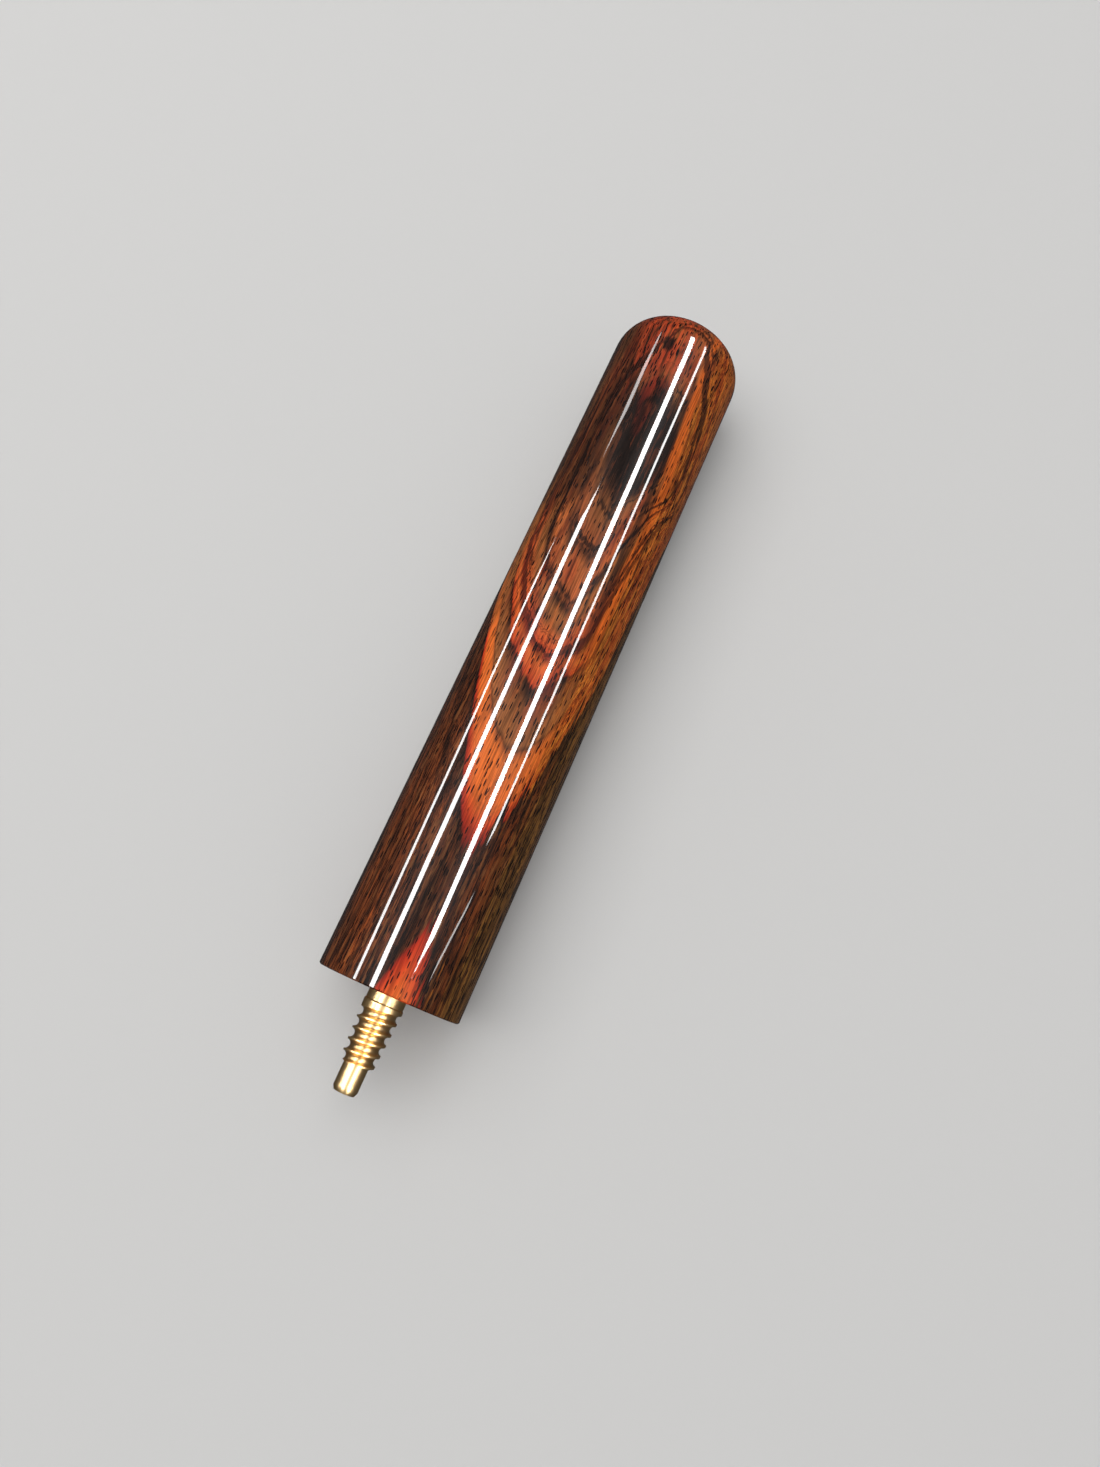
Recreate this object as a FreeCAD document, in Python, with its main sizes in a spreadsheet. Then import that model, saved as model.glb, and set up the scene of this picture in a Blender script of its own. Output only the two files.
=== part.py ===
import FreeCAD, Part
import os

import Sketcher

# Screw-on butt extension for a snooker cue, in millimetres.
#
# A turned hardwood body carries a one-piece turned brass joint pin, bedded in epoxy.
# The origin is the centre of the joint face, where the extension meets the cue. +Y runs along
# the axis to the butt end, the pin stands out towards -Y, and +Z is up with the extension lying
# on a table. A station is a place along the axis, and the pin's stations are negative.

SIZES = [
    ("body_length", 153.0, "wood, from joint face to butt end"),
    ("joint_diameter", 28.0, "wood at the joint face, flush with the cue"),
    ("butt_diameter", 28.1, "wood at the butt end, before rounding"),
    ("butt_rounding", 8.1, "radius between the side and the flat of the butt end"),
    ("joint_edge", 0.25, "chamfer round the joint face"),
    ("shank_diameter", 7.7, "plain register next to the joint face"),
    ("shank_length", 2.5, "plain register"),
    ("thread_length", 10.9, "from register to nose"),
    ("thread_end_diameter", 6.5, "crests next to the nose, tapered down from the register"),
    ("thread_pitch", 2.04, "single start, right-hand"),
    ("thread_depth", 0.76, "crest to root"),
    ("crest_width", 0.34, "flat left on the crest"),
    ("first_valley", 3.68, "joint face to the first full valley, on the +X side"),
    ("valley_turns", 5.5, "turns of the valley at full depth"),
    ("runout_turns", 0.5, "turns over which the valley comes out beside the register"),
    ("runout_lift", 1.06, "rise of the threading tool in the run-out, out past the register"),
    ("nose_diameter", 4.7, "plain pilot at the free end"),
    ("nose_length", 5.2, "plain pilot"),
    ("nose_chamfer", 0.35, "lead-in of the pilot"),
    ("anchor_diameter", 12.0, "barrel held in the wood"),
    ("anchor_length", 28.0, "barrel"),
    ("anchor_chamfer", 1.0, "lead-in of the barrel"),
    ("ring_width", 1.6, "glue ring turned in the barrel"),
    ("ring_depth", 0.5, "glue ring"),
    ("ring_pitch", 3.4, "from glue ring to glue ring"),
    ("first_ring", 3.5, "joint face to the first glue ring's middle"),
    ("ring_count", 7, "glue rings"),
    ("glue_gap", 0.2, "glue between barrel and wood, on the radius"),
    ("bore_depth", 29.0, "blind hole in the wood, to the end of its full diameter"),
    ("drill_angle", 118.0, "degrees, the cone at the bottom of the hole"),
]

THREAD_END = "(Sizes.shank_length + Sizes.thread_length)"
PIN_TIP = f"({THREAD_END} + Sizes.nose_length)"
THREAD_SLOPE = "((Sizes.shank_diameter - Sizes.thread_end_diameter) / 2 / Sizes.thread_length)"
VALLEY_HALF_WIDTH = "((Sizes.thread_pitch - Sizes.crest_width) / 2)"
VALLEY_RADIUS = f"(({VALLEY_HALF_WIDTH}^2 + Sizes.thread_depth^2) / (2 * Sizes.thread_depth))"
BORE_RADIUS = "(Sizes.anchor_diameter / 2 + Sizes.glue_gap)"
DRILL_TIP = f"({BORE_RADIUS} / tan(Sizes.drill_angle / 2))"

# Any cut that did its work takes away more metal than this, in cubic millimetres.
SMALLEST_CUT = 50.0


def make_sheet(doc):
    """The spreadsheet of driving dimensions: alias, value and meaning, one to a row."""
    sheet = doc.addObject("Spreadsheet::Sheet", "Sizes")
    for row, (alias, value, meaning) in enumerate(SIZES, start=1):
        sheet.set(f"A{row}", alias)
        sheet.set(f"B{row}", str(value))
        sheet.set(f"C{row}", meaning)
        sheet.setAlias(f"B{row}", alias)
    doc.recompute()
    return sheet


def value_of(sheet, expression):
    """What an expression on the sheet comes to, for a sketch's first guess."""
    return float(sheet.evalExpression(expression))


def new_body(doc, name):
    body = doc.addObject("PartDesign::Body", name)
    body.Label = name
    return body


def origin_feature(body, role):
    """One of the body's own origin planes or axes."""
    return next(f for f in body.Origin.OriginFeatures if f.Role == role)


def new_sketch(body, name):
    """An empty sketch in the body's XY plane, where sketch Y is the turning axis."""
    sketch = body.newObject("Sketcher::SketchObject", name)
    sketch.AttachmentSupport = [(origin_feature(body, "XY_Plane"), "")]
    sketch.MapMode = "FlatFace"
    return sketch


def dimension(sketch, kind, places, value, expression):
    """Adds a dimension between the places and ties it to the sheet."""
    index = sketch.addConstraint(Sketcher.Constraint(kind, *places, value))
    sketch.setExpression(f"Constraints[{index}]", expression)


def turned_outline(sheet, body, name, corners):
    """A closed outline to revolve, from (radius, station) pairs of expressions.

    A radius of None is a corner on the axis.
    """
    sketch = new_sketch(body, name)
    points = [
        FreeCAD.Vector(value_of(sheet, radius) if radius else 0, value_of(sheet, station))
        for radius, station in corners
    ]
    for start, end in zip(points, points[1:] + points[:1]):
        sketch.addGeometry(Part.LineSegment(start, end))
    for i, (radius, station) in enumerate(corners):
        sketch.addConstraint(Sketcher.Constraint("Coincident", i, 2, (i + 1) % len(corners), 1))
        if radius:
            dimension(sketch, "DistanceX", (-1, 1, i, 1), points[i].x, radius)
        else:
            sketch.addConstraint(Sketcher.Constraint("PointOnObject", i, 1, -2))
        if station == "0":
            sketch.addConstraint(Sketcher.Constraint("PointOnObject", i, 1, -1))
        else:
            dimension(sketch, "DistanceY", (-1, 1, i, 1), points[i].y, station)
    return sketch


def turn(body, sketch, name, kind="PartDesign::Revolution"):
    """A full turn of the sketch about its own Y axis: a Revolution adds, a Groove cuts."""
    feature = body.newObject(kind, name)
    feature.Profile = sketch
    feature.ReferenceAxis = (sketch, ["V_Axis"])
    feature.Angle = 360
    return feature


def round_edges(shape, radius, station):
    """Names of the circular edges with this radius at this station."""
    return [
        f"Edge{number}"
        for number, edge in enumerate(shape.Edges, start=1)
        if isinstance(edge.Curve, Part.Circle)
        and abs(edge.Curve.Radius - radius) < 1e-4
        and abs(edge.Curve.Center.y - station) < 1e-4
    ]


def make_wood_body(doc, sheet):
    """The turned hardwood: slight taper, rounded butt end and a drilled hole for the barrel."""
    body = new_body(doc, "wood_body")
    outline = [
        (None, "0"),
        ("Sizes.joint_diameter / 2", "0"),
        ("Sizes.butt_diameter / 2", "Sizes.body_length"),
        (None, "Sizes.body_length"),
    ]
    turn(body, turned_outline(sheet, body, "WoodOutline", outline), "WoodTurning")
    hole = [
        (None, "0"),
        (BORE_RADIUS, "0"),
        (BORE_RADIUS, "Sizes.bore_depth"),
        (None, f"Sizes.bore_depth + {DRILL_TIP}"),
    ]
    hole_sketch = turned_outline(sheet, body, "HoleOutline", hole)
    drilled = turn(body, hole_sketch, "DrilledHole", "PartDesign::Groove")
    doc.recompute()
    butt_edge = round_edges(drilled.Shape, sheet.butt_diameter / 2, sheet.body_length)
    rounding = body.newObject("PartDesign::Fillet", "ButtRounding")
    rounding.Base = (drilled, butt_edge)
    rounding.setExpression("Radius", "Sizes.butt_rounding")
    doc.recompute()
    joint_edge = round_edges(rounding.Shape, sheet.joint_diameter / 2, 0)
    chamfer = body.newObject("PartDesign::Chamfer", "JointEdge")
    chamfer.Base = (rounding, joint_edge)
    chamfer.setExpression("Size", "Sizes.joint_edge")
    return body


def crest_radius(station):
    """Expression for the tapered thread's crest radius at a station."""
    return f"(Sizes.shank_diameter / 2 + ({station} + Sizes.shank_length) * {THREAD_SLOPE})"


def valley_outline(sheet, body, name, side, station):
    """The threading tool in the plane of the axis: an arc up from the root, open past the crest.

    side is 1 for the +X side and -1 for the -X side.
    """
    sketch = new_sketch(body, name)
    crest = crest_radius(station)
    centre = f"{side} * ({crest} - Sizes.thread_depth + {VALLEY_RADIUS})"
    outside = f"{side} * ({crest} + Sizes.thread_depth)"
    middle = value_of(sheet, station)
    half = value_of(sheet, VALLEY_HALF_WIDTH)
    lip, far = side * value_of(sheet, crest), value_of(sheet, outside)
    low, high = FreeCAD.Vector(lip, middle - half), FreeCAD.Vector(lip, middle + half)
    far_low, far_high = FreeCAD.Vector(far, middle - half), FreeCAD.Vector(far, middle + half)
    root = FreeCAD.Vector(lip - side * sheet.thread_depth, middle)
    sketch.addGeometry(Part.Arc(low, root, high))
    for start, end in ((high, far_high), (far_high, far_low), (far_low, low)):
        sketch.addGeometry(Part.LineSegment(start, end))
    # an arc runs anticlockwise, so which of its ends is the high one depends on the side
    arc_low, arc_high = (2, 1) if side > 0 else (1, 2)
    joined = [(0, arc_high, 1, 1), (1, 2, 2, 1), (2, 2, 3, 1), (3, 2, 0, arc_low)]
    for ends in joined:
        sketch.addConstraint(Sketcher.Constraint("Coincident", *ends))
    sketch.addConstraint(Sketcher.Constraint("Horizontal", 1))
    sketch.addConstraint(Sketcher.Constraint("Vertical", 2))
    sketch.addConstraint(Sketcher.Constraint("Horizontal", 3))
    dimension(sketch, "DistanceX", (-1, 1, 0, 3), value_of(sheet, centre), centre)
    dimension(sketch, "DistanceY", (-1, 1, 0, 3), middle, station)
    dimension(sketch, "Radius", (0,), value_of(sheet, VALLEY_RADIUS), VALLEY_RADIUS)
    dimension(sketch, "DistanceX", (-1, 1, 1, 2), far, outside)
    dimension(sketch, "DistanceY", (2, 2, 2, 1), 2 * half, f"2 * {VALLEY_HALF_WIDTH}")
    return sketch


def cut_valley(body, sketch, name, turns, growth):
    """A right-hand helical cut towards +Y. growth is the change of radius in one turn."""
    feature = body.newObject("PartDesign::SubtractiveHelix", name)
    feature.Profile = sketch
    feature.ReferenceAxis = (sketch, ["V_Axis"])
    feature.Mode = "height-turns-growth"
    feature.setExpression("Turns", turns)
    feature.setExpression("Height", f"{turns} * Sizes.thread_pitch")
    feature.setExpression("Growth", growth)
    return feature


def cut_thread(doc, sheet, body):
    """The tapered thread: full-depth turns from the nose, then half a turn of run-out."""
    first = "(-Sizes.first_valley)"
    start = f"({first} - Sizes.valley_turns * Sizes.thread_pitch)"
    at_nose = valley_outline(sheet, body, "ValleyAtNose", -1, start)
    taper = f"{THREAD_SLOPE} * Sizes.thread_pitch"
    cut_valley(body, at_nose, "ThreadValley", "Sizes.valley_turns", taper)
    doc.recompute()
    at_shank = valley_outline(sheet, body, "ValleyAtShank", 1, first)
    lift = "Sizes.runout_lift / Sizes.runout_turns"
    cut_valley(body, at_shank, "ThreadRunout", "Sizes.runout_turns", lift)
    doc.recompute()


def cut_glue_rings(doc, sheet, body):
    """Rings in the barrel for the glue to key into."""
    low = "(Sizes.first_ring - Sizes.ring_width / 2)"
    high = "(Sizes.first_ring + Sizes.ring_width / 2)"
    floor = "(Sizes.anchor_diameter / 2 - Sizes.ring_depth)"
    corners = [(floor, low), (BORE_RADIUS, low), (BORE_RADIUS, high), (floor, high)]
    sketch = turned_outline(sheet, body, "RingOutline", corners)
    ring = turn(body, sketch, "GlueRing", "PartDesign::Groove")
    doc.recompute()
    rings = body.newObject("PartDesign::LinearPattern", "GlueRings")
    rings.Originals = [ring]
    rings.Direction = (sketch, ["V_Axis"])
    rings.Mode = "Spacing"
    rings.setExpression("Offset", "Sizes.ring_pitch")
    rings.setExpression("Occurrences", "Sizes.ring_count")
    body.Tip = rings
    doc.recompute()


def make_joint_pin(doc, sheet):
    """The brass pin in one piece: pilot nose, thread, register and anchor barrel."""
    body = new_body(doc, "joint_pin")
    nose, shank = "Sizes.nose_diameter / 2", "Sizes.shank_diameter / 2"
    barrel = "Sizes.anchor_diameter / 2"
    outline = [
        (None, f"-{PIN_TIP}"),
        (f"{nose} - Sizes.nose_chamfer", f"-{PIN_TIP}"),
        (nose, f"Sizes.nose_chamfer - {PIN_TIP}"),
        (nose, f"-{THREAD_END}"),
        ("Sizes.thread_end_diameter / 2", f"-{THREAD_END}"),
        (shank, "-Sizes.shank_length"),
        (shank, "0"),
        (barrel, "0"),
        (barrel, "Sizes.anchor_length - Sizes.anchor_chamfer"),
        (f"{barrel} - Sizes.anchor_chamfer", "Sizes.anchor_length"),
        (None, "Sizes.anchor_length"),
    ]
    turn(body, turned_outline(sheet, body, "PinOutline", outline), "PinTurning")
    doc.recompute()
    volumes = [body.Shape.Volume]
    cut_thread(doc, sheet, body)
    volumes.append(body.Shape.Volume)
    cut_glue_rings(doc, sheet, body)
    volumes.append(body.Shape.Volume)
    by_thread, by_rings = volumes[0] - volumes[1], volumes[1] - volumes[2]
    if min(by_thread, by_rings) < SMALLEST_CUT:
        raise RuntimeError(f"the thread or the glue rings cut too little: {volumes}")
    return body


def make_epoxy_bond(doc, pin):
    """The cured glue: what is left of the drilled hole round the pin's barrel."""
    cylinder = doc.addObject("Part::Cylinder", "HoleCylinder")
    cylinder.setExpression("Radius", BORE_RADIUS)
    cylinder.setExpression("Height", "Sizes.bore_depth")
    tip = doc.addObject("Part::Cone", "HoleTip")
    tip.setExpression("Radius1", BORE_RADIUS)
    tip.Radius2 = 0
    tip.setExpression("Height", DRILL_TIP)
    towards_butt = FreeCAD.Rotation(FreeCAD.Vector(1, 0, 0), -90)
    cylinder.Placement = FreeCAD.Placement(FreeCAD.Vector(0, 0, 0), towards_butt)
    tip.Placement = FreeCAD.Placement(FreeCAD.Vector(0, 0, 0), towards_butt)
    tip.setExpression("Placement.Base.y", "Sizes.bore_depth")
    hole = doc.addObject("Part::Fuse", "FilledHole")
    hole.Base = cylinder
    hole.Tool = tip
    bond = doc.addObject("Part::Cut", "epoxy_bond")
    bond.Base = hole
    bond.Tool = pin
    bond.Label = "epoxy_bond"
    return bond


def check(doc, parts):
    """Stops before anything is written if an object failed or a part isn't one sound solid."""
    for item in doc.Objects:
        if {"Invalid", "Error"} & set(item.State):
            raise RuntimeError(f"{item.Name} is {item.State}")
    for part in parts:
        shape = part.Shape
        if shape.isNull() or not shape.isValid() or len(shape.Solids) != 1:
            raise RuntimeError(f"{part.Label} isn't one valid solid")


def main():
    doc = FreeCAD.newDocument("CueExtension")
    sheet = make_sheet(doc)
    wood = make_wood_body(doc, sheet)
    pin = make_joint_pin(doc, sheet)
    bond = make_epoxy_bond(doc, pin)
    doc.recompute()
    parts = [wood, pin, bond]
    check(doc, parts)
    os.makedirs("parts", exist_ok=True)
    for part in parts:
        part.Shape.exportStep(f"parts/{part.Label}.step")
        print(part.Label, "volume", round(part.Shape.Volume, 1), "mm3")


main()
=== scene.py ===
import math

import bmesh
import bpy
from mathutils import Matrix, Vector


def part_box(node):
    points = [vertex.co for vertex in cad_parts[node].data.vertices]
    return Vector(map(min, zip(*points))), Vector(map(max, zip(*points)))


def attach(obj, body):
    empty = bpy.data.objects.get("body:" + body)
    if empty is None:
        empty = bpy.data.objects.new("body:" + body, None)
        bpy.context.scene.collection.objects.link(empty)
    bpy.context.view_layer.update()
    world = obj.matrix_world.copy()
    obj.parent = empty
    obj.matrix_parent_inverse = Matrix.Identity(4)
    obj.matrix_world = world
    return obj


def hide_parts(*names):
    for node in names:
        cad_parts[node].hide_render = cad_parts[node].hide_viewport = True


# A snooker cue's screw-on butt extension: lacquered rosewood with a threaded brass pin.
# Row frame, in metres: origin at the centre of the joint face, +Y to the butt end, +Z up.

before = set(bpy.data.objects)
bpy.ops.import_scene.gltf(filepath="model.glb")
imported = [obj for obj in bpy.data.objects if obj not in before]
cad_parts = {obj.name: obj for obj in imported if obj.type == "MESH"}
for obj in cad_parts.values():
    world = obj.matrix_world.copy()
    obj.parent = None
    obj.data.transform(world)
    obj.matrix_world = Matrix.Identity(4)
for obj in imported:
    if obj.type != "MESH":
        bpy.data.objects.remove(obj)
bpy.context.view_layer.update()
WOOD_LOW, WOOD_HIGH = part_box("wood_body")
PIN_LOW, PIN_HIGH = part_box("joint_pin")
MM = 0.001

# ---------------------------------------------------------------- sizes, in millimetres
# The wood, with a blind drilled hole for the pin.
BODY_LENGTH = WOOD_HIGH.y / MM
BUTT_RADIUS = WOOD_HIGH.x / MM
JOINT_RADIUS = 14.0
JOINT_EDGE = 0.25
BUTT_ROUNDING = 8.1
HOLE_RADIUS = 6.2
HOLE_DEPTH = 29.0
DRILL_HALF_ANGLE = math.radians(59)

# The pin's barrel, glued in the hole, has square grooves for the glue.
BARREL_LENGTH = PIN_HIGH.y / MM
BARREL_RADIUS = 6.0
BARREL_CHAMFER = 1.0
GROOVE_WIDTH = 1.6
GROOVE_DEPTH = 0.5
GROOVE_PITCH = 3.4
FIRST_GROOVE = 3.5
GROOVES = 7
# Outside the wood a plain shank with a slight waist comes first.
SHANK_RADIUS = 3.85
SHANK_LENGTH = 2.5
WAIST_RADIUS = 3.675
WAIST_LENGTH = 1.95
WAIST_SLOPE = 0.2
# The thread tapers from the shank to its end and has round valleys. Past FIRST_VALLEY, towards
# the wood, the valley lifts out of the metal in half a turn.
THREAD_END = -13.4
THREAD_END_RADIUS = 3.25
PITCH = 2.04
THREAD_DEPTH = 0.76
CREST_WIDTH = 0.34
CREST_ROUNDING = 0.05
FIRST_VALLEY = -3.68
RUNOUT_LIFT = 1.06
# The plain nose ends at the pin's tip.
PIN_TIP = PIN_LOW.y / MM
NOSE_RADIUS = 2.35
NOSE_CHAMFER = 0.35

# ---------------------------------------------------------------- mesh fineness
BODY_SEGMENTS = 360
FACE_RINGS = 6
SIDE_RINGS = 72
ROUNDING_RINGS = 28
PIN_SEGMENTS = 180
TIP_RINGS = 3
NOSE_RINGS = 12
THREAD_STEP = 0.045
# Edges sharper than this many degrees are shaded hard.
WOOD_SHARP_ANGLE = 35
PIN_SHARP_ANGLE = 40


# ---------------------------------------------------------------- meshes
def add_object(name, data):
    """A new object in the scene."""
    added = bpy.data.objects.new(name, data)
    bpy.context.scene.collection.objects.link(added)
    return added


class Turned:
    """A closed surface built ring by ring along Y. Turns run right-handed about +Y from -X."""

    def __init__(self, segments):
        self.segments = segments
        self.vertices = []
        self.faces = []
        self.last = None

    def ring(self, radius, y):
        """One ring. The radius is a number, 0 for a pole, or a function of the turn, 0 to 1."""
        if radius == 0:
            self.vertices.append((0, y, 0))
            self.join([len(self.vertices) - 1] * self.segments)
            return
        first = len(self.vertices)
        for i in range(self.segments):
            turn = i / self.segments
            r = radius(turn) if callable(radius) else radius
            angle = 2 * math.pi * turn
            self.vertices.append((-r * math.cos(angle), y, r * math.sin(angle)))
        self.join(list(range(first, first + self.segments)))

    def join(self, ring):
        """Faces from the last ring to this one, triangles where one of them is a pole."""
        if self.last is not None:
            for i in range(self.segments):
                j = (i + 1) % self.segments
                corners = (self.last[i], self.last[j], ring[j], ring[i])
                self.faces.append(list(dict.fromkeys(corners)))
        self.last = ring

    def rings(self, profile):
        """A ring for each (radius, y) point."""
        for radius, y in profile:
            self.ring(radius, y)

    def piece(self, name, sharp_angle):
        """The smooth-shaded mesh object, with hard edges where faces turn past the angle."""
        mesh = bpy.data.meshes.new(name)
        mesh.from_pydata([Vector(v) * MM for v in self.vertices], [], self.faces)
        mesh.update()
        mesh.shade_smooth()
        mesh.set_sharp_from_angle(angle=math.radians(sharp_angle))
        return add_object(name, mesh)


def line(start, end, count):
    """Profile points from start to end, without start."""
    shares = [i / count for i in range(1, count + 1)]
    return [(start[0] * (1 - s) + end[0] * s, start[1] * (1 - s) + end[1] * s) for s in shares]


def quarter_round(radius, y, rounding, count):
    """Profile points of a convex edge from the side at y in to the end face, without the first."""
    angles = [math.pi / 2 * i / count for i in range(1, count + 1)]
    centre = radius - rounding
    return [(centre + rounding * math.cos(a), y + rounding * math.sin(a)) for a in angles]


def make_wood_body():
    """From the bottom of the drilled hole, out over the joint face, to the butt end."""
    turned = Turned(BODY_SEGMENTS)
    drill_tip = HOLE_DEPTH + HOLE_RADIUS / math.tan(DRILL_HALF_ANGLE)
    edge = (JOINT_RADIUS, JOINT_EDGE)
    rounding_start = (BUTT_RADIUS, BODY_LENGTH - BUTT_ROUNDING)
    flat_radius = BUTT_RADIUS - BUTT_ROUNDING
    turned.ring(0, drill_tip)
    turned.rings([(HOLE_RADIUS, HOLE_DEPTH), (HOLE_RADIUS, 0)])
    turned.rings(line((HOLE_RADIUS, 0), (JOINT_RADIUS - JOINT_EDGE, 0), FACE_RINGS))
    turned.ring(*edge)
    turned.rings(line(edge, rounding_start, SIDE_RINGS))
    turned.rings(quarter_round(*rounding_start, BUTT_ROUNDING, ROUNDING_RINGS))
    turned.rings(line((flat_radius, BODY_LENGTH), (0, BODY_LENGTH), FACE_RINGS))
    return turned.piece("rosewood_body", WOOD_SHARP_ANGLE)


def blank_radius(y):
    """The pin before threading: the register's waist, its collar, then the thread's taper."""
    if y > -SHANK_LENGTH:
        up = (-WAIST_LENGTH - y) / WAIST_SLOPE
        return WAIST_RADIUS + (SHANK_RADIUS - WAIST_RADIUS) * min(1, max(0, up))
    taper = (SHANK_RADIUS - THREAD_END_RADIUS) / (-SHANK_LENGTH - THREAD_END)
    return SHANK_RADIUS + (y + SHANK_LENGTH) * taper


def thread_radius(y, turn):
    """The threaded pin's radius at y, for a turn from 0 to 1."""
    valley_width = PITCH - CREST_WIDTH
    valley_radius = (valley_width**2 / 4 + THREAD_DEPTH**2) / (2 * THREAD_DEPTH)
    blank = blank_radius(y)
    lap = round((y - FIRST_VALLEY) / PITCH - (turn - 0.5))
    laps_past_first = turn + lap - 0.5
    if laps_past_first > 0.5:
        return blank
    middle = FIRST_VALLEY + laps_past_first * PITCH
    off = abs(y - middle)
    if off >= valley_radius:
        return blank
    floor = blank_radius(middle) - THREAD_DEPTH + max(0, laps_past_first) * 2 * RUNOUT_LIFT
    valley = floor + valley_radius - math.sqrt(valley_radius**2 - off**2)
    blend = max(0, 1 - abs(blank - valley) / CREST_ROUNDING)
    return min(blank, valley) - CREST_ROUNDING * blend**2 / 4


def barrel_profile():
    """The anchor barrel with its square glue grooves, from the joint face to the inner end."""
    profile = [(BARREL_RADIUS, 0)]
    for i in range(GROOVES):
        start = FIRST_GROOVE + i * GROOVE_PITCH - GROOVE_WIDTH / 2
        floor = BARREL_RADIUS - GROOVE_DEPTH
        profile += [(BARREL_RADIUS, start), (floor, start)]
        profile += [(floor, start + GROOVE_WIDTH), (BARREL_RADIUS, start + GROOVE_WIDTH)]
    profile.append((BARREL_RADIUS, BARREL_LENGTH - BARREL_CHAMFER))
    profile.append((BARREL_RADIUS - BARREL_CHAMFER, BARREL_LENGTH))
    return profile


def make_joint_pin():
    """The brass pin from its plain nose, up the thread, to the barrel glued in the wood."""
    turned = Turned(PIN_SEGMENTS)
    nose_start = (NOSE_RADIUS, PIN_TIP + NOSE_CHAMFER)
    turned.ring(0, PIN_TIP)
    turned.rings(line((0, PIN_TIP), (NOSE_RADIUS - NOSE_CHAMFER, PIN_TIP), TIP_RINGS))
    turned.rings(line(nose_start, (NOSE_RADIUS, THREAD_END), NOSE_RINGS))
    rows = round(-THREAD_END / THREAD_STEP)
    for i in range(rows + 1):
        y = THREAD_END * (1 - i / rows)
        turned.ring(lambda turn: thread_radius(y, turn), y)
    turned.rings(barrel_profile())
    turned.ring(0, BARREL_LENGTH)
    return turned.piece("brass_joint_pin", PIN_SHARP_ANGLE)


# ---------------------------------------------------------------- node building
def srgb(red, green, blue):
    """A screen colour, 0 to 255, as the linear colour the shaders use."""
    channels = []
    for value in (red / 255, green / 255, blue / 255):
        low = value <= 0.04045
        channels.append(value / 12.92 if low else ((value + 0.055) / 1.055) ** 2.4)
    return (*channels, 1)


class Wire:
    """A node's output, so that node arithmetic reads as arithmetic."""

    def __init__(self, graph, socket):
        self.graph = graph
        self.socket = socket

    def __add__(self, other):
        return self.graph.math("ADD", self, other)

    def __sub__(self, other):
        return self.graph.math("SUBTRACT", self, other)

    def __mul__(self, other):
        return self.graph.math("MULTIPLY", self, other)

    def __truediv__(self, other):
        return self.graph.math("DIVIDE", self, other)

    def __rsub__(self, other):
        return self.graph.math("SUBTRACT", other, self)


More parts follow.
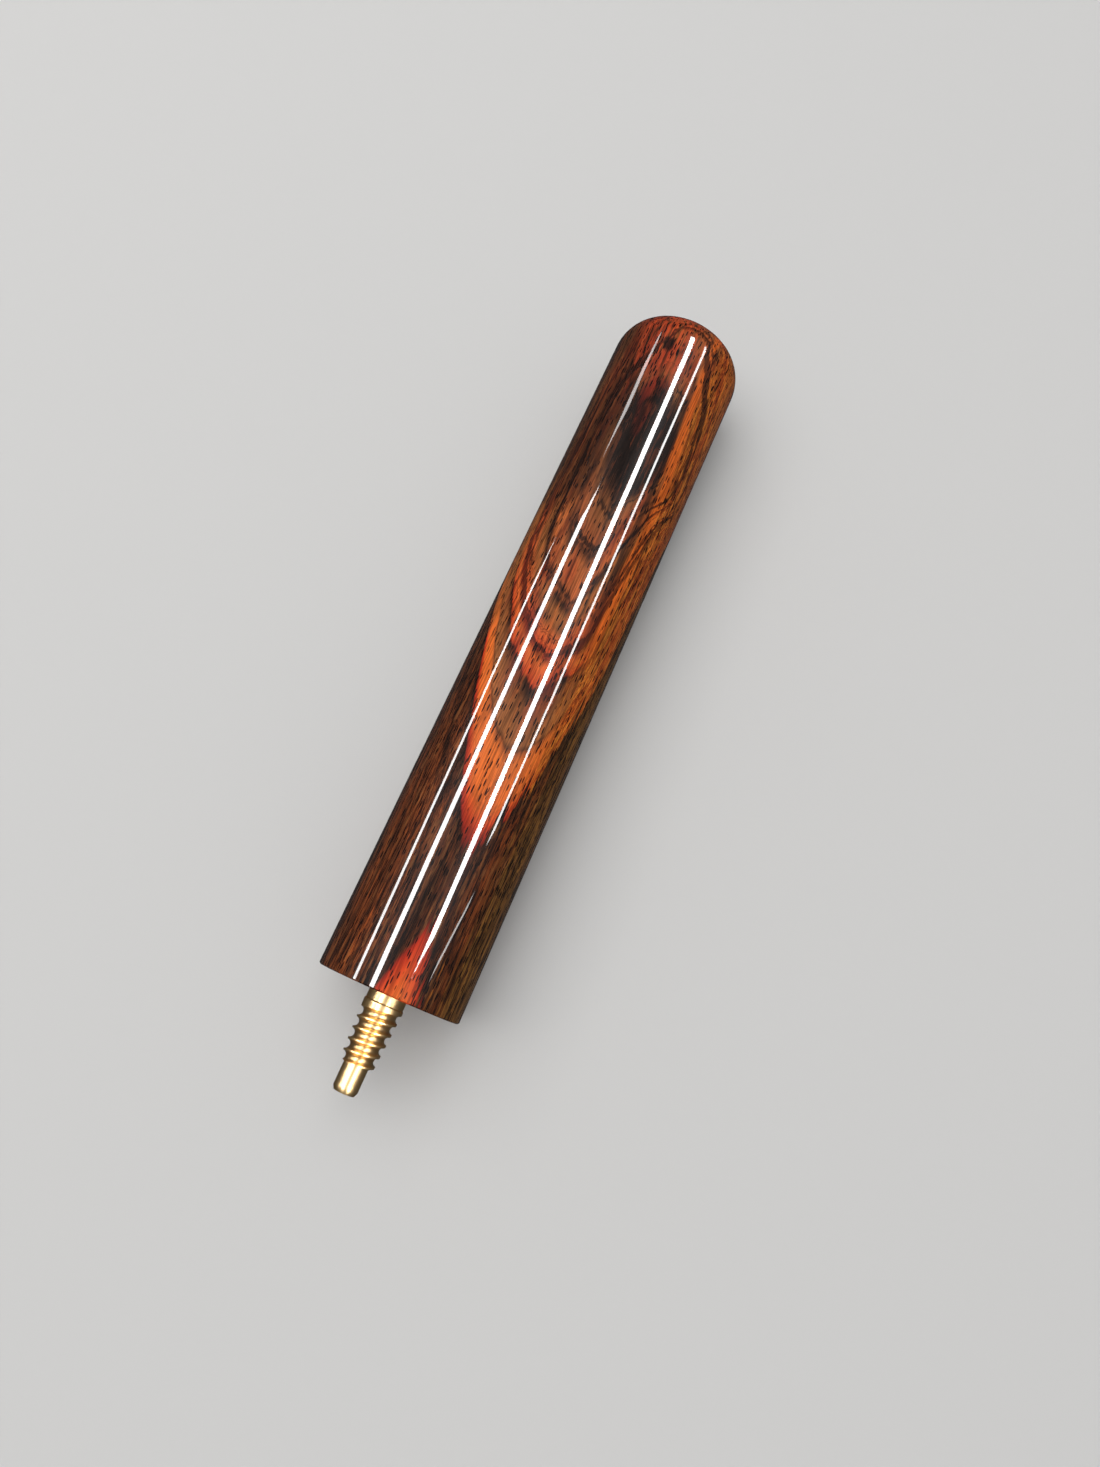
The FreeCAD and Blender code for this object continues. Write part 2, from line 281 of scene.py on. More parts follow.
class Graph:
    """A new material with one Principled shader, and short names for the nodes it needs."""

    def __init__(self, name):
        self.material = bpy.data.materials.new(name)
        self.material.use_nodes = True
        self.tree = self.material.node_tree
        self.tree.nodes.clear()
        self.shader = self.tree.nodes.new("ShaderNodeBsdfPrincipled")
        output = self.tree.nodes.new("ShaderNodeOutputMaterial")
        self.tree.links.new(self.shader.outputs["BSDF"], output.inputs["Surface"])

    def put(self, socket, value):
        """Links a wire to the socket, or sets the socket to a value."""
        if isinstance(value, Wire):
            self.tree.links.new(value.socket, socket)
        else:
            socket.default_value = value

    def node(self, kind, inputs, output=0, **settings):
        """Adds a node with these input values or wires, and returns one of its outputs."""
        made = self.tree.nodes.new(kind)
        for key, value in settings.items():
            setattr(made, key, value)
        for key, value in inputs.items():
            self.put(made.inputs[key], value)
        return Wire(self, made.outputs[output])

    def math(self, operation, *values):
        """A Math node on these numbers or wires."""
        return self.node("ShaderNodeMath", dict(enumerate(values)), operation=operation)

    def position(self):
        """Place in the row frame in millimetres, as x, y and z wires."""
        place = self.node("ShaderNodeTexCoord", {}, "Object")
        scaled = self.node("ShaderNodeVectorMath", {0: place, "Scale": 1 / MM}, operation="SCALE")
        return [self.node("ShaderNodeSeparateXYZ", {0: scaled}, axis) for axis in "XYZ"]

    def vector(self, x, y, z):
        """Three numbers or wires as one vector."""
        return self.node("ShaderNodeCombineXYZ", {0: x, 1: y, 2: z})

    def noise(self, x, y, z, detail, roughness=0.5):
        """Smooth noise, about 0.2 to 0.8, with features about one unit across."""
        inputs = {"Vector": self.vector(x, y, z), "Scale": 1.0}
        inputs.update({"Detail": detail, "Roughness": roughness})
        return self.node("ShaderNodeTexNoise", inputs, "Fac")

    def grain(self, place, across, along, detail, roughness=0.5):
        """Noise with features this many millimetres across the axis and along it."""
        x, y, z = place
        return self.noise(x / across, y / along, z / across, detail, roughness)

    def spots(self, x, y, z):
        """Distance to the nearest of a scatter of points about one unit apart."""
        inputs = {"Vector": self.vector(x, y, z), "Scale": 1.0}
        return self.node("ShaderNodeTexVoronoi", inputs, "Distance")

    def rise(self, value, low, high):
        """0 below low, 1 above high and smooth between. If low is the higher, it falls."""
        inputs = {"Value": value, "From Min": low, "From Max": high}
        return self.node("ShaderNodeMapRange", inputs, interpolation_type="SMOOTHSTEP")

    def ramp(self, value, low, high, stops):
        """Colour by value through (value, colour) stops between low and high."""
        made = self.tree.nodes.new("ShaderNodeValToRGB")
        ramp = made.color_ramp
        while len(ramp.elements) < len(stops):
            ramp.elements.new(1.0)
        for element, (place, colour) in zip(ramp.elements, stops):
            element.position = (place - low) / (high - low)
            element.color = colour
        self.put(made.inputs[0], (value - low) / (high - low))
        return Wire(self, made.outputs["Color"])

    def curve(self, value, low, high, points):
        """A smooth curve of value through points whose heights are between 0 and 1."""
        made = self.tree.nodes.new("ShaderNodeFloatCurve")
        curve = made.mapping.curves[0]
        while len(curve.points) < len(points):
            curve.points.new(0.5, 0.5)
        for point, (place, height) in zip(curve.points, points):
            point.location = ((place - low) / (high - low), height)
        made.mapping.update()
        self.put(made.inputs["Value"], (value - low) / (high - low))
        return Wire(self, made.outputs[0])

    def mix(self, share, first, second, blend="MIX"):
        """Colour first, going to second as share goes to 1."""
        made = self.tree.nodes.new("ShaderNodeMix")
        made.data_type = "RGBA"
        made.blend_type = blend
        self.put(made.inputs["Factor"], share)
        self.put(made.inputs[6], first)
        self.put(made.inputs[7], second)
        return Wire(self, made.outputs[2])

    def stain(self, colour, mask, stain):
        """The colour with a tint laid over it by the mask, given with the most it covers; used for
        stains and for painted shade.
        """
        tint, most = stain
        return self.mix(mask * most, colour, tint)

    def bump(self, height, distance):
        """A normal for a relief this many millimetres high."""
        inputs = {"Height": height, "Distance": distance * MM}
        return self.node("ShaderNodeBump", inputs, "Normal")

    def set(self, **values):
        """Puts values or wires in the shader's sockets, with _ for the spaces in their names."""
        for key, value in values.items():
            self.put(self.shader.inputs[key.replace("_", " ")], value)


# ---------------------------------------------------------------- rosewood
# The growth rings are slices of big cylinders that slope along the blank, so they meet the
# turned surface in nested tongues. The ring level is 1 where a ring just touches the crown.
RING_CENTRE_DEPTH = 60.0
RING_RISE_OFFSET = 0.1
# How far the rings have risen along the blank, as y and levels.
RING_RISE = (
    (0, 0.09), (25, 0.04), (40, 0.13), (60, 0.36), (75, 0.60), (90, 0.77), (102, 0.86),
    (116, 0.98), (128, 0.93), (138, 0.81), (153, 0.70),
)
# How far the rings' crown is turned towards +X along the blank, as y and a share of MOST_LEAN.
MOST_LEAN = math.radians(20)
RING_LEAN = (
    (0, 0.75), (40, 0.75), (70, 0.45), (90, 0.05), (102, 0.1), (118, 0.6), (153, 0.5),
)
# The level at which the tongue ends, how soft that edge is, and where and how far it strays.
TONGUE_EDGE = 0.951
TONGUE_EDGE_WIDTH = 0.012
RAGGED_X = (2, 9)
RAGGED_MOST = 0.5

# Noise in the wood: size across the grain and along it in millimetres, detail and, for some,
# roughness. The patches are moved sideways by a shift in their own size.
NOISE_MIDDLE = 0.5
WAVES = (13, 34, 1)
PATCHES = (5, 22, 2)
PATCHES_SHIFT = 11
STREAKS = (1.3, 42, 4, 0.65)
FLECKS = (0.62, 8, 3, 0.6)
FIBRES = (0.34, 12, 3, 0.65)
RIPPLE = (5, 9, 1)
RIPPLE_HEIGHT = 0.012
# Two noises follow the rings. Stripes: number in a level, size along, share of the streaks,
# detail, roughness. Ink lines: number in a level, size along and down, detail, roughness.
STRIPES = (13, 80, 3, 5, 0.72)
INK_LINES = (22, 60, 20, 3, 0.6)
# Pores: spacing across and along, then the smallest size, what patches add, and the soft edge,
# as shares of the spacing.
PORE_SPACING = (0.52, 3.0)
PORE_SIZES = (0.235, 0.08)
PORE_EDGE = 0.04
# The darkest fibre's brightness and what the lightest adds.
FIBRE_SHADES = (0.58, 0.68)

# Levels between which a part of the figure sets in, from none of it to all.
LOOSE_LEVELS = (1.0, 1.35)
HEART_LEVELS = (1.60, 1.80)
LIVELY_LEVELS = (1.75, 1.55)
UNDER_LEVELS = (-0.40, -0.47)
INK_LEVELS = (1.29, 1.42)
# How far waves and streaks bend the levels: more where the rings are loose, and everywhere.
WAVE_BEND = (0.24, 0.05)
STREAK_BEND = (0.03, 0.04)
# How far waves and streaks bend the levels under the blank.
UNDER_BEND = (0.22, 0.06)

# Noise values between which a kind of mark sets in. It sets in downwards if the first is higher.
RED_PATCH_NOISE = (0.52, 0.66)
LIVELY_FLECK_NOISE = (0.53, 0.62)
HEART_FLECK_NOISE = (0.52, 0.62)
PALE_FLECK_NOISE = (0.54, 0.63)
DARK_FLECK_NOISE = (0.46, 0.39)
RED_BUTT_NOISE = (0.40, 0.50)
DARK_STREAK_NOISE = (0.53, 0.60)
INK_NOISE = (0.56, 0.63)
FIBRE_NOISE = (0.34, 0.64)
BIG_PORE_NOISE = (0.36, 0.6)

# Where zones of the figure start and are full, in millimetres, or in levels beside the tongue.
# With three numbers, the first is how far the zone's edge strays with the streaks or patches.
GOLDEN_X = (9, 9, 12.5)
BESIDE_TONGUE = (0.3, 0.78, 0.93)
FLANK_MIDDLE_X = -1.0
FLANK_X = (6, 8.8, 11.8)
OLIVE_X = (0, -8)
# The painted shade on the upper left side sets in over these x and z.
LEFT_SHADE_X = (-9, -12.5)
LEFT_SHADE_Z = (-4, 2)
TOP_Z = (0, 2)
BUTT_SIDE_Y = (30, 94, 108)
BUTT_SIDE_X = (8, -2, -5)
BUTT_SIDE_MOST = 0.85
DARK_BUTT_X = (-11, -8)
DARK_BUTT_Y = (142, 132)
RED_BUTT_Y = (24, 128, 140)
RED_BUTT_MIDDLE_X = -2.5
RED_BUTT_X = (12, 8.5, 4.5)

# The bright streak on the right flank and the dark line beside it.
STREAK_X = 9.8
STREAK_TURN = 2.4
STREAK_TURN_Y = (105, 145)
STREAK_STRAY = 3
STREAK_START_Y = (66, 80)
STREAK_WIDTH = (1.1, 0.4)
DARK_LINE_OFFSET = 2
DARK_LINE_WIDTH = (1.3, 0.5)
DARK_LINE_END_Y = (138, 128)

# The small dark knot on top near the butt end: its x and y, its stretch along y, its edge.
KNOT = (-1.0, 141.5)
KNOT_STRETCH = 2
KNOT_EDGE = (1.6, 1.3, 0.7)

# Stains, and one painted shade: a tint and the most it covers.
RED_PATCH_STAIN = (srgb(140, 38, 20), 0.5)
LIVELY_FLECK_STAIN = (srgb(214, 106, 46), 0.40)
HEART_FLECK_STAIN = (srgb(142, 66, 28), 0.25)
OLIVE_STAIN = (srgb(150, 106, 48), 0.45)
BRIGHT_STREAK_STAIN = (srgb(230, 106, 32), 0.7)
DARK_LINE_STAIN = (srgb(28, 15, 10), 0.7)
BESIDE_TONGUE_STAIN = (srgb(34, 20, 14), 0.6)
PALE_FLECK_STAIN = (srgb(146, 92, 50), 0.45)
DARK_FLECK_STAIN = (srgb(22, 13, 9), 0.75)
DARK_STREAK_STAIN = (srgb(24, 14, 10), 0.5)
# Painted shade that darkens the upper left side.
LEFT_EDGE_PAINTED_SHADE = (srgb(34, 22, 14), 0.4)
DARK_BUTT_STAIN = (srgb(30, 18, 12), 0.55)
RED_BUTT_STAIN = (srgb(186, 62, 28), 0.65)
PORE_STAIN = (srgb(18, 8, 6), 0.95)
KNOT_STAIN = (srgb(16, 10, 8), 0.9)
# The most that the amber of the flanks and the figure under the blank cover.
FLANK_COVER = 0.85
UNDER_COVER = 0.85
# Dashes in the tongue cover this much where the rings are loose, and on the flanks.
DASH_COLOUR = srgb(24, 13, 9)
DASH_COVERS = (0.5, 0.25)
# Ink lines cover this much more in the heart, and everywhere.
INK_COLOUR = srgb(26, 14, 10)
INK_COVERS = (0.6, 0.2)

# Ring colours by level, from the red outer edge of the tongue in to its black heart.
TONGUE_RANGE = (0.9, 1.9)
TONGUE_COLOURS = (
    (0.938, srgb(52, 24, 15)), (0.950, srgb(178, 40, 16)), (0.968, srgb(208, 68, 25)),
    (0.998, srgb(222, 104, 38)), (1.085, srgb(222, 110, 42)), (1.106, srgb(180, 92, 42)),
    (1.116, srgb(104, 58, 30)), (1.130, srgb(162, 96, 50)), (1.190, srgb(152, 90, 48)),
    (1.236, srgb(130, 74, 38)), (1.266, srgb(66, 38, 22)), (1.279, srgb(62, 29, 17)),
    (1.292, srgb(194, 66, 26)), (1.345, srgb(214, 98, 40)), (1.375, srgb(112, 36, 17)),
    (1.395, srgb(198, 66, 28)), (1.450, srgb(200, 92, 40)), (1.485, srgb(134, 76, 38)),
    (1.520, srgb(158, 92, 46)), (1.546, srgb(50, 28, 17)), (1.570, srgb(168, 86, 40)),
    (1.630, srgb(172, 92, 44)), (1.662, srgb(86, 46, 25)), (1.700, srgb(156, 80, 40)),
    (1.765, srgb(134, 78, 40)), (1.800, srgb(66, 36, 21)), (1.835, srgb(30, 18, 13)),
)
# Stripe colours by noise value: for the sides, the right side, and the tongue's flanks.
STRIPE_RANGE = (0.3, 0.72)
UMBER = (
    (0.32, srgb(22, 12, 8)), (0.40, srgb(94, 48, 23)), (0.45, srgb(34, 19, 13)),
    (0.51, srgb(140, 70, 31)), (0.56, srgb(50, 28, 17)), (0.62, srgb(166, 80, 33)),
    (0.70, srgb(40, 22, 14)),
)
GOLD = (
    (0.32, srgb(20, 12, 7)), (0.38, srgb(134, 86, 34)), (0.43, srgb(38, 23, 13)),
    (0.48, srgb(160, 108, 44)), (0.54, srgb(88, 56, 25)), (0.575, srgb(26, 16, 9)),
    (0.62, srgb(146, 92, 37)), (0.70, srgb(88, 52, 23)),
)
AMBER = (
    (0.32, srgb(60, 26, 10)), (0.38, srgb(212, 104, 28)), (0.43, srgb(112, 46, 15)),
    (0.48, srgb(228, 136, 44)), (0.54, srgb(188, 76, 21)), (0.575, srgb(38, 18, 9)),
    (0.62, srgb(218, 102, 28)), (0.70, srgb(148, 64, 21)),
)
# The rings under the blank are cut the other way and show a second, quieter figure.
UNDER_RANGE = (-1.1, -0.44)
UNDER_COLOURS = (
    (-1.10, srgb(44, 24, 15)), (-1.00, srgb(176, 88, 38)), (-0.94, srgb(120, 68, 32)),
    (-0.915, srgb(28, 16, 11)), (-0.885, srgb(158, 52, 22)), (-0.82, srgb(172, 80, 32)),
    (-0.79, srgb(66, 34, 18)), (-0.76, srgb(134, 78, 36)), (-0.68, srgb(150, 86, 38)),
    (-0.655, srgb(30, 18, 12)), (-0.63, srgb(168, 60, 24)), (-0.56, srgb(140, 76, 32)),
    (-0.53, srgb(48, 26, 15)), (-0.49, srgb(126, 66, 28)), (-0.44, srgb(40, 23, 14)),
)


def ring_level(g, x, y, z):
    """The level of the growth ring through a point, before any waviness."""
    turn = g.curve(y, 0, BODY_LENGTH, RING_LEAN) * MOST_LEAN
    up = x * g.math("SINE", turn) + z * g.math("COSINE", turn)
    inside = x * x + z * z - JOINT_RADIUS**2
    height = up + inside / (2 * RING_CENTRE_DEPTH)
    rise = g.curve(y, 0, BODY_LENGTH, RING_RISE)
    return height / JOINT_RADIUS + rise - RING_RISE_OFFSET


class Figure:
    """What every part of the wood's figure is worked out from: the place, noises and levels."""

    def __init__(self, g):
        self.g = g
        self.place = g.position()
        self.x, self.y, self.z = self.place
        self.on_top = g.rise(self.z, *TOP_Z)
        self.add_noises()
        self.add_levels()

    def add_noises(self):
        across, along, detail = PATCHES
        shifted = self.x / across + PATCHES_SHIFT
        self.patches = self.g.noise(shifted, self.y / along, self.z / across, detail)
        self.drift = self.patches - NOISE_MIDDLE
        self.streaks = self.g.grain(self.place, *STREAKS)
        self.stray = self.streaks - NOISE_MIDDLE
        self.flecks = self.g.grain(self.place, *FLECKS)
        self.dark_flecks = self.g.rise(self.flecks, *DARK_FLECK_NOISE)

    def add_levels(self):
        still = ring_level(self.g, *self.place)
        waves = self.g.grain(self.place, *WAVES) - NOISE_MIDDLE
        self.loose = self.g.rise(still, *LOOSE_LEVELS)
        self.level = still + waves * (self.loose * WAVE_BEND[0] + WAVE_BEND[1])
        self.fine_level = self.level + self.stray * (self.loose * STREAK_BEND[0] + STREAK_BEND[1])
        self.deep_level = still + waves * UNDER_BEND[0] + self.stray * UNDER_BEND[1]
        per_level, along, share, *fineness = STRIPES
        self.stripes = self.g.noise(
            self.level * per_level, self.y / along, self.streaks * share, *fineness
        )

    def striped(self, colours):
        """The stripes in one of the stripe colours."""
        return self.g.ramp(self.stripes, *STRIPE_RANGE, colours)

    def zone(self, value, noise, strays, start, full):
        """A mask that sets in from start to full, with an edge that strays with a noise."""
        return self.g.rise(value + noise * strays, start, full)


def colour_tongue(g, figure):
    """Inside the tongue: nested rings with red patches, livelier before the dark heart."""
    colour = g.ramp(figure.fine_level, *TONGUE_RANGE, TONGUE_COLOURS)
    colour = g.stain(colour, g.rise(figure.patches, *RED_PATCH_NOISE) * figure.loose, RED_PATCH_STAIN)
    lively = figure.loose * g.rise(figure.level, *LIVELY_LEVELS)
    colour = g.stain(colour, lively * g.rise(figure.flecks, *LIVELY_FLECK_NOISE), LIVELY_FLECK_STAIN)
    heart = g.rise(figure.level, *HEART_LEVELS)
    return g.stain(colour, heart * g.rise(figure.flecks, *HEART_FLECK_NOISE), HEART_FLECK_STAIN)


def colour_flanks(g, figure, tongue):
    """The tongue with amber flanks where it turns down the sides, and its dark dashes."""
    from_middle = g.math("ABSOLUTE", figure.x - FLANK_MIDDLE_X)
    flank = figure.zone(from_middle, figure.stray, *FLANK_X)
    amber = g.stain(figure.striped(AMBER), g.rise(figure.x, *OLIVE_X), OLIVE_STAIN)
    colour = g.mix(flank * FLANK_COVER, tongue, amber)
    cover = figure.loose * DASH_COVERS[0] + flank * DASH_COVERS[1]
    return g.mix(figure.dark_flecks * cover, colour, DASH_COLOUR)


def add_bright_streak(g, figure, tongue):
    """The tongue with a bright streak along the right flank and a dark line on its left."""
    middle = STREAK_X - g.rise(figure.y, *STREAK_TURN_Y) * STREAK_TURN
    offset = figure.x - middle + figure.stray * STREAK_STRAY
    there = g.rise(figure.y, *STREAK_START_Y) * figure.on_top
    streak = g.rise(g.math("ABSOLUTE", offset), *STREAK_WIDTH) * there
    colour = g.stain(tongue, streak, BRIGHT_STREAK_STAIN)
    dark = g.rise(g.math("ABSOLUTE", offset + DARK_LINE_OFFSET), *DARK_LINE_WIDTH) * there
    return g.stain(colour, dark * g.rise(figure.y, *DARK_LINE_END_Y), DARK_LINE_STAIN)


def colour_sides(g, figure):
    """Outside the tongue: umber stripes, golden on the right, the second figure below and painted
    shade on the upper left.
    """
    golden = figure.zone(figure.x, figure.stray, *GOLDEN_X)
    colour = g.mix(golden, figure.striped(UMBER), figure.striped(GOLD))
    beside_tongue = figure.zone(figure.level, figure.stray, *BESIDE_TONGUE)
    colour = g.stain(colour, beside_tongue, BESIDE_TONGUE_STAIN)
    under = g.ramp(figure.deep_level, *UNDER_RANGE, UNDER_COLOURS)
    colour = g.mix(g.rise(figure.deep_level, *UNDER_LEVELS) * UNDER_COVER, colour, under)
    colour = g.stain(colour, g.rise(figure.flecks, *PALE_FLECK_NOISE), PALE_FLECK_STAIN)
    colour = g.stain(colour, figure.dark_flecks, DARK_FLECK_STAIN)
    colour = g.stain(colour, g.rise(figure.streaks, *DARK_STREAK_NOISE), DARK_STREAK_STAIN)
    # Painted shade: the upper left side is darkened.
    left = g.rise(figure.x, *LEFT_SHADE_X) * g.rise(figure.z, *LEFT_SHADE_Z)
    return g.stain(colour, left, LEFT_EDGE_PAINTED_SHADE)


def join_tongue_and_sides(g, figure, tongue, sides):
    """The tongue up to its edge, less its left half at the butt end, which is side wood again."""
    to_butt = figure.zone(figure.y, figure.drift, *BUTT_SIDE_Y)
    to_left = figure.zone(figure.x, figure.stray, *BUTT_SIDE_X)
    dark = g.rise(figure.x, *DARK_BUTT_X) * g.rise(figure.y, *DARK_BUTT_Y)
    sides = g.stain(sides, to_butt * dark, DARK_BUTT_STAIN)
    ragged = figure.stray * g.rise(figure.x, *RAGGED_X) * RAGGED_MOST
    outside = g.rise(figure.level + ragged, TONGUE_EDGE, TONGUE_EDGE - TONGUE_EDGE_WIDTH)
    share = g.math("MAXIMUM", outside, to_butt * to_left * BUTT_SIDE_MOST)
    return g.mix(share, tongue, sides)


def redden_butt(g, figure, colour):
    """The red wood round the knot."""
    from_middle = g.math("ABSOLUTE", figure.x - RED_BUTT_MIDDLE_X)
    red = figure.zone(figure.y, figure.stray, *RED_BUTT_Y) * figure.on_top
    red = red * figure.zone(from_middle, figure.drift, *RED_BUTT_X)
    return g.stain(colour, red * g.rise(figure.flecks, *RED_BUTT_NOISE), RED_BUTT_STAIN)


def add_ink_lines(g, figure, colour):
    """Thin dark lines along the rings."""
    per_level, along, down, *fineness = INK_LINES
    ink = g.noise(figure.fine_level * per_level, figure.y / along, figure.z / down, *fineness)
    cover = g.rise(figure.level, *INK_LEVELS) * INK_COVERS[0] + INK_COVERS[1]
    return g.mix(g.rise(ink, *INK_NOISE) * cover, colour, INK_COLOUR)


def add_fibres(g, figure, colour):
    """Light and dark fibres, multiplied over everything below them."""
    fibres = g.grain(figure.place, *FIBRES)
    darkest, added = FIBRE_SHADES
    shade = g.rise(fibres, *FIBRE_NOISE) * added + darkest
    return g.mix(1.0, colour, g.vector(shade, shade, shade), "MULTIPLY")


def add_pores(g, figure, colour):
    """Short open pores along the grain, larger in some patches."""
    across, along = PORE_SPACING
    pores = g.spots(figure.x / across, figure.y / along, figure.z / across)
    smallest, added = PORE_SIZES
    size = g.rise(figure.patches, *BIG_PORE_NOISE) * added + smallest
    return g.stain(colour, g.rise(pores - size, PORE_EDGE, -PORE_EDGE), PORE_STAIN)


def add_knot(g, figure, colour):
    """The small dark knot, drawn out along the grain."""
    across = figure.x - KNOT[0]
    along = (figure.y - KNOT[1]) / KNOT_STRETCH
    distance = g.math("SQRT", across * across + along * along)
    falling = figure.zone(distance, figure.stray, *KNOT_EDGE)
    return g.stain(colour, falling * figure.on_top, KNOT_STAIN)


def make_rosewood():
    """Figured wood under a clear gloss lacquer with a faint ripple."""
    g = Graph("lacquered_rosewood")
    figure = Figure(g)
    tongue = colour_flanks(g, figure, colour_tongue(g, figure))
    tongue = add_bright_streak(g, figure, tongue)
    colour = join_tongue_and_sides(g, figure, tongue, colour_sides(g, figure))
    for add_marks in (redden_butt, add_ink_lines, add_fibres, add_pores, add_knot):
        colour = add_marks(g, figure, colour)
    g.set(Base_Color=colour, Roughness=0.36, Specular_IOR_Level=0.06)
    g.set(Coat_Weight=1.0, Coat_Roughness=0.03, Coat_IOR=1.55)
    g.set(Coat_Normal=g.bump(g.grain(figure.place, *RIPPLE), RIPPLE_HEIGHT))
    return g.material


# ---------------------------------------------------------------- brass and epoxy
# Lathe marks: their size along the pin and across it, and their height, in millimetres.
LATHE_MARKS = (0.07, 9)
LATHE_MARK_HEIGHT = 0.003
# Blotches and clouds: size across and along, detail, roughness of the noise. They mix the two
# colours, and add the second roughness to the first.
BRASS_BLOTCHES = (1.6, 1.6, 4, 0.6)
BRASS_COLOURS = (srgb(250, 218, 162), srgb(234, 190, 128))
BRASS_ROUGHNESS = (0.26, 0.14)
EPOXY_CLOUDS = (1.2, 1.2, 4)
EPOXY_CLOUD_HEIGHT = 0.05
EPOXY_COLOURS = (srgb(70, 40, 18), srgb(150, 104, 52))
EPOXY_ROUGHNESS = (0.15, 0.2)
# Painted shade darkens the thread's roots, below these radii and on the wood's side of the thread's
# end.
ROOT_PAINTED_SHADE = (srgb(150, 96, 44), 0.35)
ROOT_SHADE_RADII = (3.3, 2.6)
ROOT_SHADE_Y = (THREAD_END - 0.2, THREAD_END + 0.1)


def make_brass():
    """Bright turned brass with uneven tone, fine lathe marks and painted shade in the thread's roots.
    """
    g = Graph("turned_brass")
    x, y, z = place = g.position()
    radius = g.math("SQRT", x * x + z * z)
    along, across = LATHE_MARKS
    lathe = g.noise(y / along, x / across, z / across, detail=1)
    blotch = g.grain(place, *BRASS_BLOTCHES)
    # Painted shade: the thread's roots are darkened.
    root_shade = g.rise(radius, *ROOT_SHADE_RADII) * g.rise(y, *ROOT_SHADE_Y)
    smoothest, added = BRASS_ROUGHNESS
    g.set(Base_Color=g.stain(g.mix(blotch, *BRASS_COLOURS), root_shade, ROOT_PAINTED_SHADE), Metallic=1.0)
    g.set(Roughness=blotch * added + smoothest, Normal=g.bump(lathe, LATHE_MARK_HEIGHT))
    return g.material


def make_epoxy():
    """Cloudy amber adhesive."""
    g = Graph("cured_epoxy")
    cloud = g.grain(g.position(), *EPOXY_CLOUDS)
    smoothest, added = EPOXY_ROUGHNESS
    g.set(Base_Color=g.mix(cloud, *EPOXY_COLOURS), Roughness=cloud * added + smoothest)
    g.set(Normal=g.bump(cloud, EPOXY_CLOUD_HEIGHT))
    return g.material


def dress(piece, material):
    """Gives the piece this one material."""
    piece.data.materials.clear()
    piece.data.materials.append(material)


# ---------------------------------------------------------------- stage, lights and camera
# Long ceiling lamps over the table at one height: (x, y) ends and width in metres, strength.
LAMP_HEIGHT = 1.0
LAMPS = (
    ("lamp_far_left", (-0.90, -0.43), (-1.73, 0.99), 0.15, 0.8),
    ("lamp_left", (-0.17, -0.62), (-0.56, 0.71), 0.13, 1.0),
    ("lamp_left_end", (-0.87, 0.95), (-1.01, 1.22), 0.13, 0.35),
    ("lamp_right", (0.63, 0.03), (0.22, 1.06), 0.15, 1.3),
    ("lamp_right_near", (0.69, -0.12), (1.05, -0.95), 0.15, 1.3),
    ("lamp_far_right", (1.25, 0.27), (0.90, 1.25), 0.14, 0.8),
    ("lamp_far_right_near", (1.39, -0.10), (1.70, -0.85), 0.13, 0.8),
    ("window_glint", (1.48, 0.02), (2.05, 0.21), 0.05, 0.4),
)
LAMP_RADIANCE = 24.0
FILL_PLACE = (-0.6, 0.3, 1.4)
FILL_SIZE = (2.0, 2.0)
FILL_RADIANCE = 1.75
SURROUND = (0.42, 0.42, 0.43, 1)
ROOM_RADIUS = 8.0
ROOM_STRENGTH = 0.10
FLOOR_SIZE = 12.0
FLOOR_COLOUR = (0.62, 0.615, 0.60, 1)
BLACK = (0, 0, 0, 1)
# The camera's place in millimetres, its heading from +Y and dip in radians, its lens and sensor
# in millimetres, and the nearest distance it sees in metres.
CAMERA_PLACE = (29.8, 5.5, 187.0)
CAMERA_HEADING = -0.404
CAMERA_DIP = 1.277
CAMERA_LENS = 24.17
CAMERA_SENSOR = 36.0
CAMERA_CLIP_START = 0.01


def add_area_light(name, place, size, radiance, turn=0.0):
    """A rectangular light facing down, with its long side turned from +X."""
    light = bpy.data.lights.new(name, "AREA")
    light.shape = "RECTANGLE"
    light.size, light.size_y = size
    light.energy = radiance * math.pi * size[0] * size[1]
    lamp = add_object(name, light)
    lamp.location = place
    lamp.rotation_euler = (0, 0, turn)
    lamp.visible_camera = False
    return lamp


def light_scene():
    """Lamps that show only in gloss, a fill light that doesn't, and a pale surround."""
    for name, start, end, width, strength in LAMPS:
        along = Vector(end) - Vector(start)
        middle = (Vector(end) + Vector(start)) / 2
        size = (along.length, width)
        turn = math.atan2(along.y, along.x)
        place = (middle.x, middle.y, LAMP_HEIGHT)
        lamp = add_area_light(name, place, size, LAMP_RADIANCE * strength, turn)
        lamp.visible_diffuse = False
    fill = add_area_light("ceiling_fill", FILL_PLACE, FILL_SIZE, FILL_RADIANCE)
    fill.visible_glossy = False
    world = bpy.data.worlds.new("pale_surround")
    world.use_nodes = True
    world.node_tree.nodes["Background"].inputs["Color"].default_value = SURROUND
    world.cycles_visibility.glossy = False
    bpy.context.scene.world = world


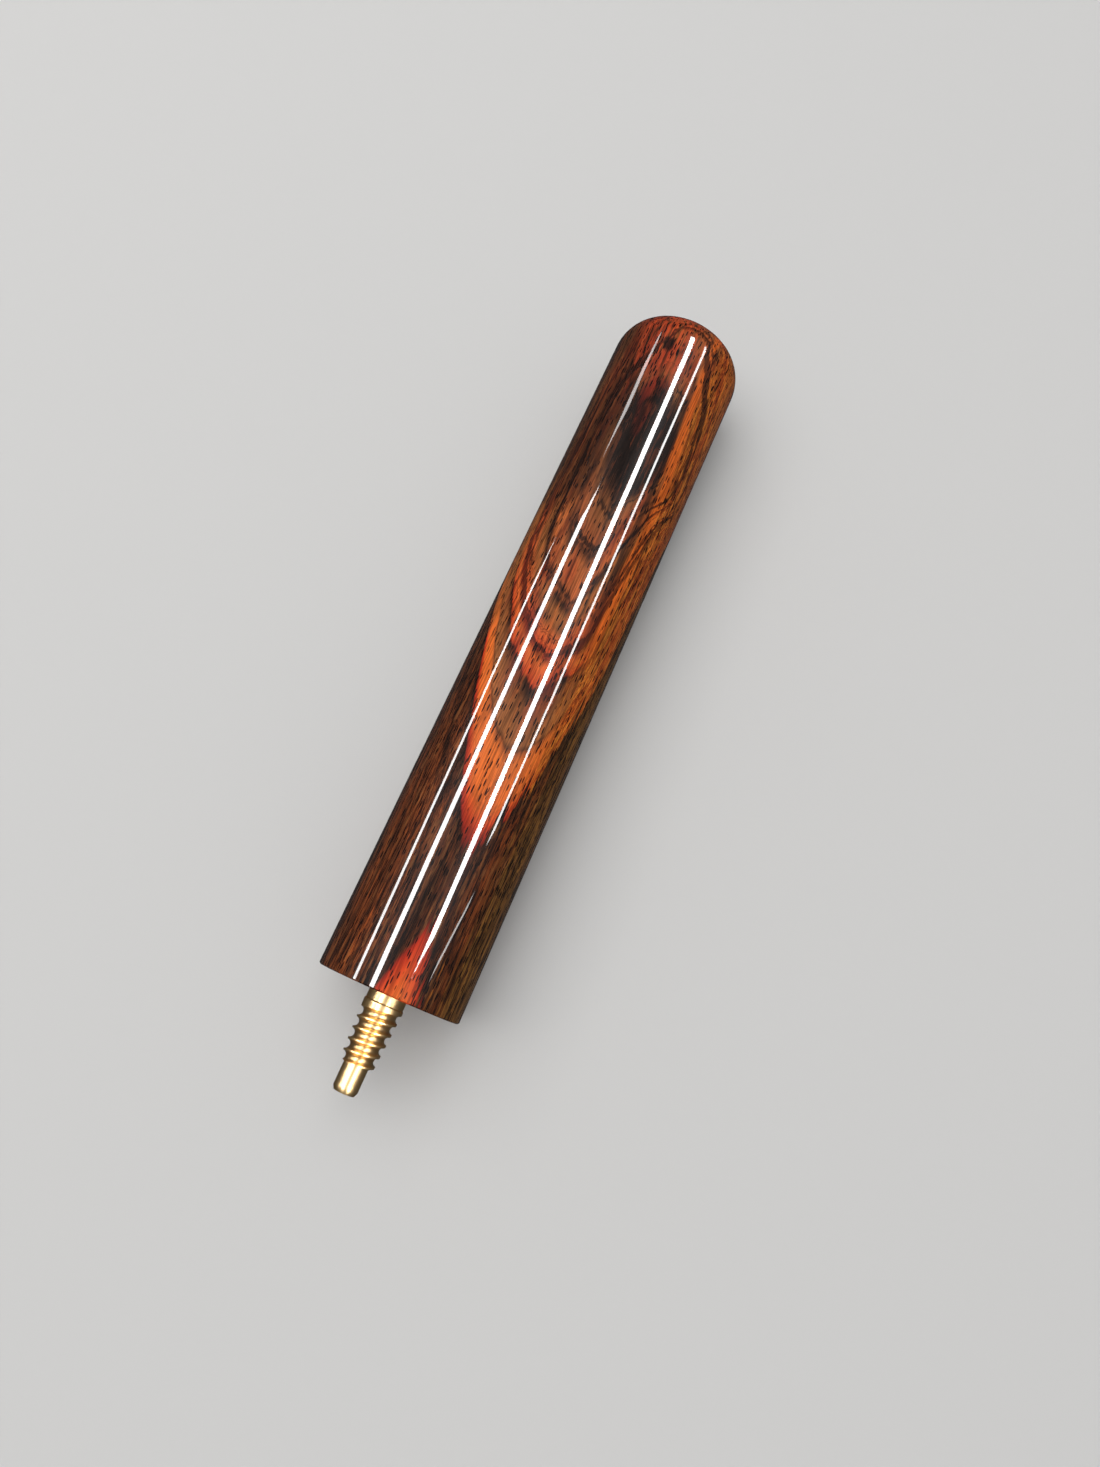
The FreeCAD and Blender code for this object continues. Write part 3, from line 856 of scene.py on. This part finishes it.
def add_dim_room():
    """What gloss reflects between the lamps: a dim, even shell that only reflections see."""
    mesh = bpy.data.meshes.new("dim_room")
    shell = bmesh.new()
    bmesh.ops.create_icosphere(shell, subdivisions=3, radius=ROOM_RADIUS)
    shell.to_mesh(mesh)
    shell.free()
    room = add_object("dim_room", mesh)
    g = Graph("dim_room")
    g.set(Base_Color=BLACK, Specular_IOR_Level=0)
    g.set(Emission_Color=SURROUND, Emission_Strength=ROOM_STRENGTH)
    g.material.cycles.emission_sampling = "NONE"
    dress(room, g.material)
    room.visible_camera = False
    room.visible_diffuse = False
    room.visible_shadow = False


def add_floor():
    """The plain floor under the wood. Gloss doesn't see it."""
    half = FLOOR_SIZE / 2
    level = WOOD_LOW.z
    mesh = bpy.data.meshes.new("floor")
    sides = ((-half, -half), (half, -half), (half, half), (-half, half))
    mesh.from_pydata([(x, y, level) for x, y in sides], [], [(0, 1, 2, 3)])
    floor = add_object("floor", mesh)
    g = Graph("pale_floor")
    g.set(Base_Color=FLOOR_COLOUR, Roughness=0.9, Specular_IOR_Level=0.2)
    dress(floor, g.material)
    floor.visible_glossy = False


def add_camera():
    """Held above the joint end, looking almost straight down with the body running up and right."""
    right = Vector((math.cos(CAMERA_HEADING), -math.sin(CAMERA_HEADING), 0))
    forward = Vector((
        math.sin(CAMERA_HEADING) * math.cos(CAMERA_DIP),
        math.cos(CAMERA_HEADING) * math.cos(CAMERA_DIP),
        -math.sin(CAMERA_DIP),
    ))
    up = right.cross(forward)
    data = bpy.data.cameras.new("camera")
    data.lens = CAMERA_LENS
    data.sensor_width = CAMERA_SENSOR
    data.clip_start = CAMERA_CLIP_START
    camera = add_object("camera", data)
    turn = Matrix((right, up, -forward)).transposed()
    camera.matrix_world = Matrix.Translation(Vector(CAMERA_PLACE) * MM) @ turn.to_4x4()
    bpy.context.scene.camera = camera


# ---------------------------------------------------------------- assembly
wood = make_wood_body()
dress(wood, make_rosewood())
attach(wood, "root")
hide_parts("wood_body")

pin = make_joint_pin()
dress(pin, make_brass())
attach(pin, "root")
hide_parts("joint_pin")

dress(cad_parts["epoxy_bond"], make_epoxy())

add_floor()
light_scene()
add_dim_room()
add_camera()
bpy.context.scene.view_settings.view_transform = "Standard"
